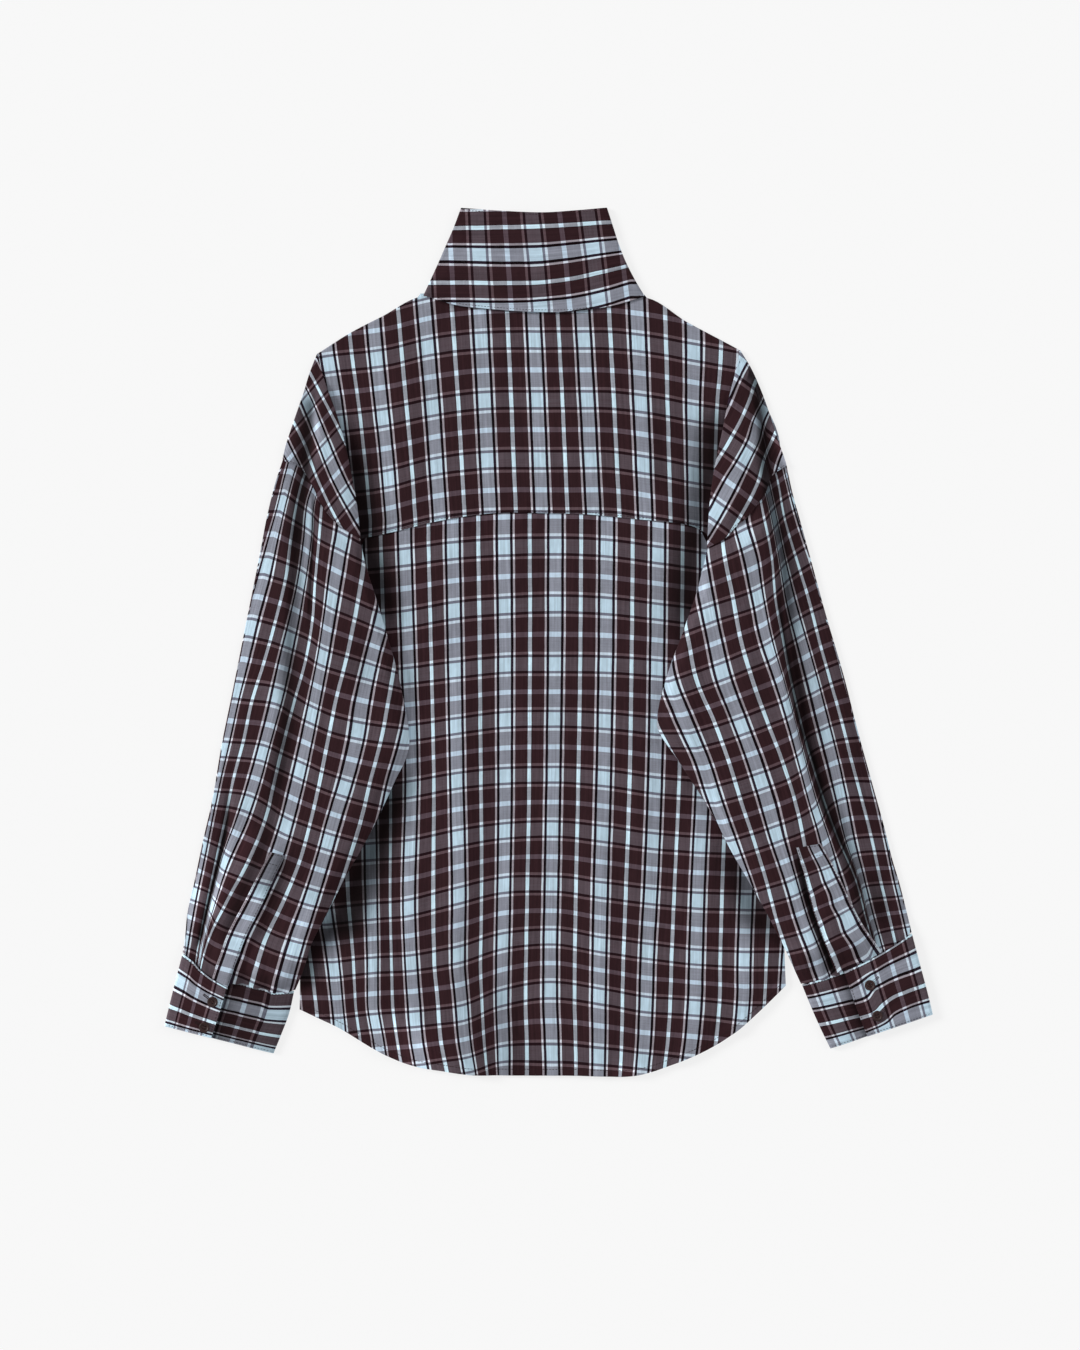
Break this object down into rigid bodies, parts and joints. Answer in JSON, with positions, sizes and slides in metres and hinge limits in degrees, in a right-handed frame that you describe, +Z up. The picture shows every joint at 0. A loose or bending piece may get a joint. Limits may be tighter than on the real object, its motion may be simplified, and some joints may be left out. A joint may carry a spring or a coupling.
{
  "type": "checked wrap shirt laid flat",
  "caption": "Oversized long-sleeved wrap shirt in a woven check with a tall collar, laid face down on a surface to show its back.",
  "frame": {"origin": "under the middle of the laid-out outline, on the surface the shirt lies on", "axes": "+X across the shirt towards the wearer's right, +Y from the hem up to the collar, +Z up from the surface, out of the back"},
  "size_m": [0.7254, 0.8199, 0.0116],
  "materials": {
    "shirting": "soft yarn-dyed twill check in dark brown and pale blue with thin white and near-black lines",
    "button": "dark brown polyester button with a low satin sheen"
  },
  "bodies": {
    "root": {"back": "shirting", "yoke": "shirting", "front_right": "shirting", "front_left": "shirting", "sleeve_left": "shirting", "sleeve_right": "shirting", "placket_left": "shirting", "placket_right": "shirting", "cuff_left": "shirting", "cuff_right": "shirting", "collar": "shirting", "button_left_upper": "button", "button_left_lower": "button", "button_right_upper": "button", "button_right_lower": "button"}
  },
  "joints": []
}
